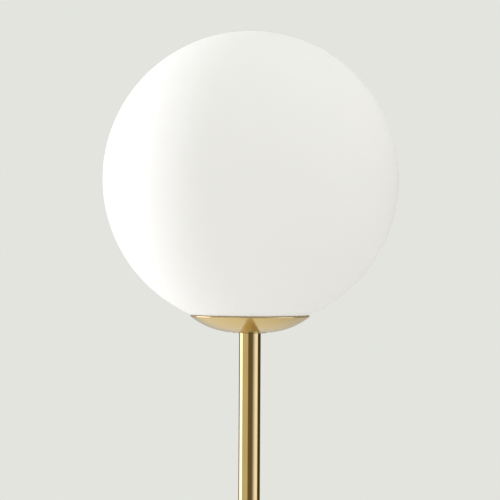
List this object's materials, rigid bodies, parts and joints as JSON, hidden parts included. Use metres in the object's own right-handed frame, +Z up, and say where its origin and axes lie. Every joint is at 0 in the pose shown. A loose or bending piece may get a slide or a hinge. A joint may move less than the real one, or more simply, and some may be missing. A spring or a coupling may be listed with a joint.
{
  "type": "globe floor lamp",
  "caption": "Floor lamp: an opal glass globe held by its lower opening in a shallow brass dish, on a slim brass pole in screwed sections over a round weighted base.",
  "frame": {"origin": "middle of the foam pad's underside, on the floor, on the pole's axis", "axes": "+Z up along the pole, +Y to the rear, where the cord enters the base"},
  "size_m": [0.3, 0.3, 1.5497],
  "materials": {
    "brass_satin": "satin brass",
    "brass_plain": "plain machined brass",
    "opal_glass": "satin opal",
    "silicone": "translucent white silicone",
    "zinc_steel": "zinc plated",
    "spring_steel": "bright spring steel",
    "iron": "black dipped",
    "foam": "closed-cell foam",
    "black_nylon": "moulded",
    "white_plastic": "moulded",
    "frosted_plastic": "frosted",
    "black_plastic": "moulded, fine texture",
    "ceramic": "glazed ceramic",
    "lead_brown": "insulated wire",
    "lead_blue": "insulated wire",
    "lead_green": "insulated wire",
    "aluminium_plain": "plain",
    "insulator_black": "fused glass"
  },
  "bodies": {
    "stem": {"base_cover": "brass_satin", "base_weight": "iron", "base_plate": "zinc_steel", "base_pad": "foam", "base_plate_screws": "zinc_steel", "base_stud": "zinc_steel", "base_clamp_washer": "zinc_steel", "base_lock_washer": "spring_steel", "base_nut": "zinc_steel", "foot_collar": "brass_satin", "cord_bush": "black_nylon", "terminal_block": "white_plastic", "terminal_sleeves": "brass_plain", "terminal_screws": "zinc_steel", "terminal_block_screw": "zinc_steel", "earth_tag": "brass_plain", "earth_screw": "brass_plain", "earth_lead": "lead_green", "pole_lower_section": "brass_satin", "pole_middle_section": "brass_satin", "pole_upper_section": "brass_satin", "pole_foot_bush": "brass_plain", "lower_joint_bushes": "brass_plain", "lower_joint_stud": "zinc_steel", "upper_joint_bushes": "brass_plain", "upper_joint_stud": "zinc_steel", "pole_top_bush": "brass_plain", "head_collar": "brass_satin", "neutral_lead": "lead_blue", "live_lead": "lead_brown", "dish": "brass_satin", "gallery_plate": "zinc_steel", "spring_clips": "spring_steel", "clip_rivets": "brass_plain", "dish_nipple": "zinc_steel", "gallery_lock_washer": "spring_steel", "gallery_nut": "zinc_steel", "holder_lower_half": "black_plastic", "holder_set_screw": "zinc_steel", "holder_upper_half": "black_plastic", "holder_insert": "ceramic", "holder_posts": "brass_plain", "holder_wire_screws": "zinc_steel", "holder_contact_screws": "zinc_steel", "holder_screw_shell": "brass_plain", "screw_shell_rivets": "brass_plain", "holder_centre_contact": "spring_steel"},
    "globe": {"globe_glass": "opal_glass", "globe_seat_ring": "silicone"},
    "bulb": {"bulb_envelope": "frosted_plastic", "bulb_housing": "white_plastic", "bulb_light_board": "aluminium_plain", "bulb_cap": "aluminium_plain", "bulb_insulator": "insulator_black", "bulb_tip_contact": "aluminium_plain"}
  },
  "joints": [
    {"name": "globe_lift", "type": "slide", "parent": "stem", "child": "globe", "axis": [0, 0, 1], "range_m": [0, 0.2], "deforming": ["spring_clips"]},
    {"name": "bulb_turn", "type": "hinge", "parent": "stem", "child": "bulb", "pos_m": [0, 0, 1.3], "axis": [0, 0, 1], "range_deg": [0, 900]}
  ]
}
